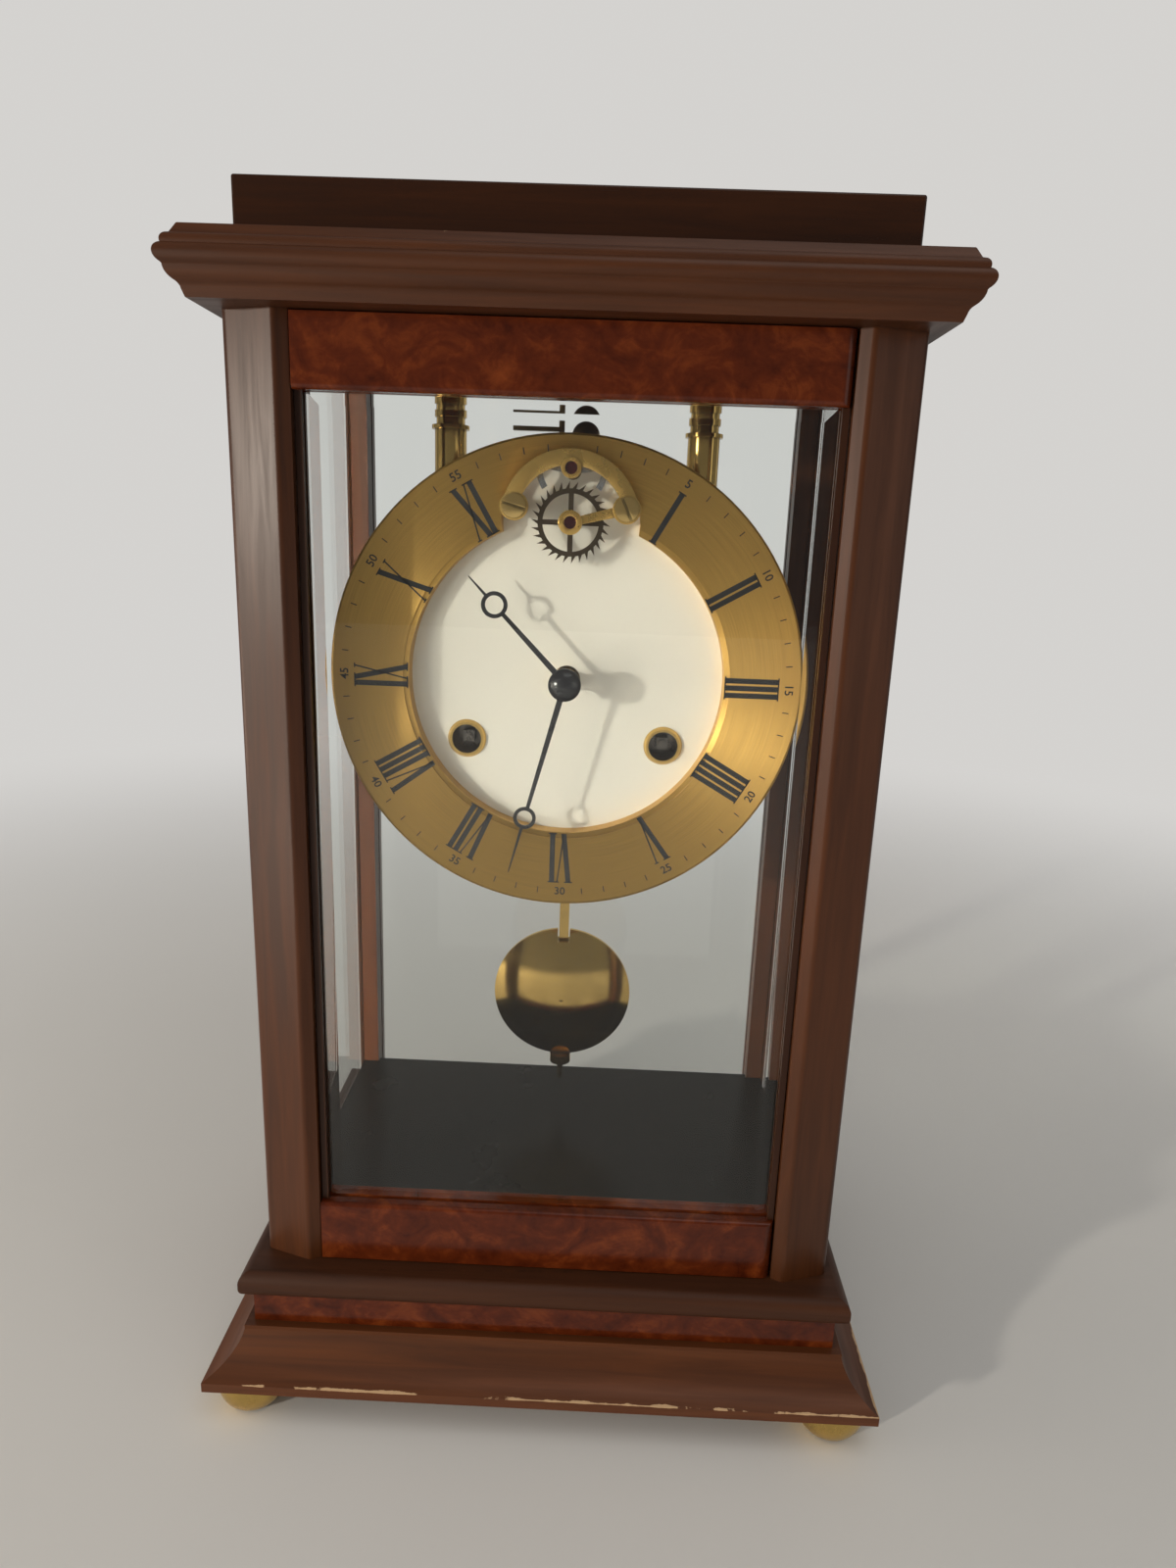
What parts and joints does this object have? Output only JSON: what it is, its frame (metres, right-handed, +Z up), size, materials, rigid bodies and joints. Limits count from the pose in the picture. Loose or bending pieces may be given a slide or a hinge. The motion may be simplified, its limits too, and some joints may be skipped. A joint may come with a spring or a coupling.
{
  "type": "desk pendulum clock",
  "caption": "Glazed table clock: moulded wood case with bevelled panes, ring dial round an open escapement, hands, bell strike train and a short swinging pendulum.",
  "frame": {"origin": "on the table under the middle of the case", "axes": "+Z up, the dial faces -Y, +X to the right of someone facing the dial"},
  "size_m": [0.217, 0.15, 0.3693],
  "materials": {
    "mahogany": "dark red-brown satin lacquer",
    "burl": "orange-red burl veneer under gloss lacquer",
    "floor_lacquer": "black-brown gloss lacquer",
    "pane_glass": "clear bevelled glass",
    "foot_brass": "turned brass, slightly dulled",
    "bright_brass": "polished brass",
    "dial_brass": "brushed brass",
    "dial_white": "matt white",
    "blued_black": "black satin",
    "steel": "polished steel",
    "dark_steel": "dark steel",
    "ruby": "synthetic ruby"
  },
  "bodies": {
    "case": {"base_skirt": "mahogany", "base_band": "burl", "base_plate": "mahogany", "feet": "foot_brass", "floor_board": "floor_lacquer", "front_posts": "mahogany", "rear_posts": "mahogany", "case_rails": "burl", "case_glasses": "pane_glass", "cornice": "mahogany", "top_block": "mahogany", "door_hinge_pins": "steel", "hanging_pillars": "bright_brass", "hanger_blocks": "bright_brass", "front_plate": "bright_brass", "back_plate": "bright_brass", "plate_pillars": "bright_brass", "dial_ring": "dial_brass", "centre_dial": "dial_white", "dial_feet": "bright_brass", "winding_grommets": "bright_brass", "bridge_posts": "bright_brass", "escapement_bridge": "bright_brass", "escape_cock": "steel", "jewels": "ruby", "bridge_screws": "steel", "bell": "bright_brass", "bell_stand": "steel", "back_cock": "bright_brass", "suspension_spring": "steel"},
    "door": {"door_rails": "burl", "door_stiles": "mahogany", "front_glass": "pane_glass"},
    "minute": {"minute_hand": "blued_black", "hand_nut": "blued_black", "centre_wheel": "bright_brass", "cannon_pinion": "steel"},
    "hour": {"hour_hand": "blued_black", "hour_wheel": "bright_brass"},
    "minute_wheel": {"minute_wheel": "bright_brass"},
    "second_wheel": {"second_wheel": "bright_brass"},
    "third_wheel": {"third_wheel": "bright_brass"},
    "escape": {"escape_wheel": "dark_steel", "escape_arbor": "steel"},
    "going_barrel": {"going_barrel": "bright_brass"},
    "going_winding": {"going_winding_arbor": "steel"},
    "going_click": {"going_click": "steel"},
    "strike_barrel": {"strike_barrel": "bright_brass"},
    "strike_winding": {"strike_winding_arbor": "steel"},
    "strike_click": {"strike_click": "steel"},
    "pin_wheel": {"pin_wheel": "bright_brass"},
    "warning_wheel": {"warning_wheel": "bright_brass"},
    "fly": {"fly": "steel"},
    "hammer": {"hammer": "steel"},
    "anchor": {"pallet_anchor": "steel", "pallet_arbor": "steel"},
    "pendulum": {"pendulum_rod": "bright_brass", "pendulum_bob": "bright_brass", "rating_nut": "bright_brass"}
  },
  "joints": [
    {"name": "door_hinge", "type": "hinge", "parent": "case", "child": "door", "pos_m": [0.07095, -0.05255, 0.1935], "axis": [0, 0, 1], "range_deg": [0, 95]},
    {"name": "minute_spin", "type": "hinge", "parent": "case", "child": "minute", "pos_m": [0, -0.003, 0.2405], "axis": [0, 1, 0], "continuous": true},
    {"name": "hour_spin", "type": "hinge", "parent": "case", "child": "hour", "pos_m": [0, -0.025, 0.2405], "axis": [0, 1, 0], "continuous": true},
    {"name": "minute_wheel_spin", "type": "hinge", "parent": "case", "child": "minute_wheel", "pos_m": [0, -0.018, 0.22851], "axis": [0, 1, 0], "continuous": true},
    {"name": "second_spin", "type": "hinge", "parent": "case", "child": "second_wheel", "pos_m": [0.02449, -0.003, 0.24835], "axis": [0, 1, 0], "continuous": true},
    {"name": "third_spin", "type": "hinge", "parent": "case", "child": "third_wheel", "pos_m": [-0.00708, -0.003, 0.26527], "axis": [0, 1, 0], "continuous": true},
    {"name": "escape_spin", "type": "hinge", "parent": "case", "child": "escape", "pos_m": [0, -0.01, 0.28741], "axis": [0, 1, 0], "continuous": true},
    {"name": "going_barrel_spin", "type": "hinge", "parent": "case", "child": "going_barrel", "pos_m": [0.031, -0.006, 0.22051], "axis": [0, 1, 0], "continuous": true},
    {"name": "going_winding_spin", "type": "hinge", "parent": "case", "child": "going_winding", "pos_m": [0.031, -0.006, 0.22051], "axis": [0, 1, 0], "continuous": true},
    {"name": "strike_winding_spin", "type": "hinge", "parent": "case", "child": "strike_winding", "pos_m": [-0.031, -0.006, 0.22051], "axis": [0, 1, 0], "continuous": true},
    {"name": "strike_barrel_spin", "type": "hinge", "parent": "case", "child": "strike_barrel", "pos_m": [-0.031, -0.006, 0.22051], "axis": [0, 1, 0], "continuous": true},
    {"name": "pin_wheel_spin", "type": "hinge", "parent": "case", "child": "pin_wheel", "pos_m": [-0.03001, -0.003, 0.24901], "axis": [0, 1, 0], "continuous": true},
    {"name": "warning_spin", "type": "hinge", "parent": "case", "child": "warning_wheel", "pos_m": [-0.03599, -0.003, 0.26491], "axis": [0, 1, 0], "continuous": true},
    {"name": "fly_spin", "type": "hinge", "parent": "case", "child": "fly", "pos_m": [-0.031, -0.003, 0.27651], "axis": [0, 1, 0], "continuous": true},
    {"name": "going_click_pivot", "type": "hinge", "parent": "case", "child": "going_click", "pos_m": [0.02372, -0.0166, 0.23419], "axis": [0, -1, 0], "range_deg": [0, 12], "stiffness_Nm_per_rad": 0.0005, "springref_deg": -22.92},
    {"name": "strike_click_pivot", "type": "hinge", "parent": "case", "child": "strike_click", "pos_m": [-0.02372, -0.0166, 0.23419], "axis": [0, 1, 0], "range_deg": [0, 12], "stiffness_Nm_per_rad": 0.0005, "springref_deg": -22.92},
    {"name": "hammer_pivot", "type": "hinge", "parent": "case", "child": "hammer", "pos_m": [-0.04501, 0, 0.27651], "axis": [0, 1, 0], "range_deg": [0, 12], "stiffness_Nm_per_rad": 0.002, "springref_deg": -28.65},
    {"name": "pendulum_swing", "type": "hinge", "parent": "case", "child": "pendulum", "pos_m": [0, 0.0187, 0.30246], "axis": [0, 1, 0], "range_deg": [-3, 3]},
    {"name": "anchor_rock", "type": "hinge", "parent": "case", "child": "anchor", "pos_m": [0, -0.005, 0.30246], "axis": [0, 1, 0], "range_deg": [-3, 3]}
  ],
  "couplings": [
    {"joint": "hour_spin", "follows": "minute_spin", "ratio": 0.083333},
    {"joint": "minute_wheel_spin", "follows": "minute_spin", "ratio": -0.33333},
    {"joint": "second_spin", "follows": "minute_spin", "ratio": -0.16667},
    {"joint": "going_barrel_spin", "follows": "minute_spin", "ratio": 0.027778},
    {"joint": "third_spin", "follows": "minute_spin", "ratio": -12},
    {"joint": "escape_spin", "follows": "minute_spin", "ratio": 138},
    {"joint": "pin_wheel_spin", "follows": "strike_barrel_spin", "ratio": -6},
    {"joint": "warning_spin", "follows": "strike_barrel_spin", "ratio": 45},
    {"joint": "fly_spin", "follows": "strike_barrel_spin", "ratio": -270},
    {"joint": "anchor_rock", "follows": "pendulum_swing", "ratio": 1}
  ]
}
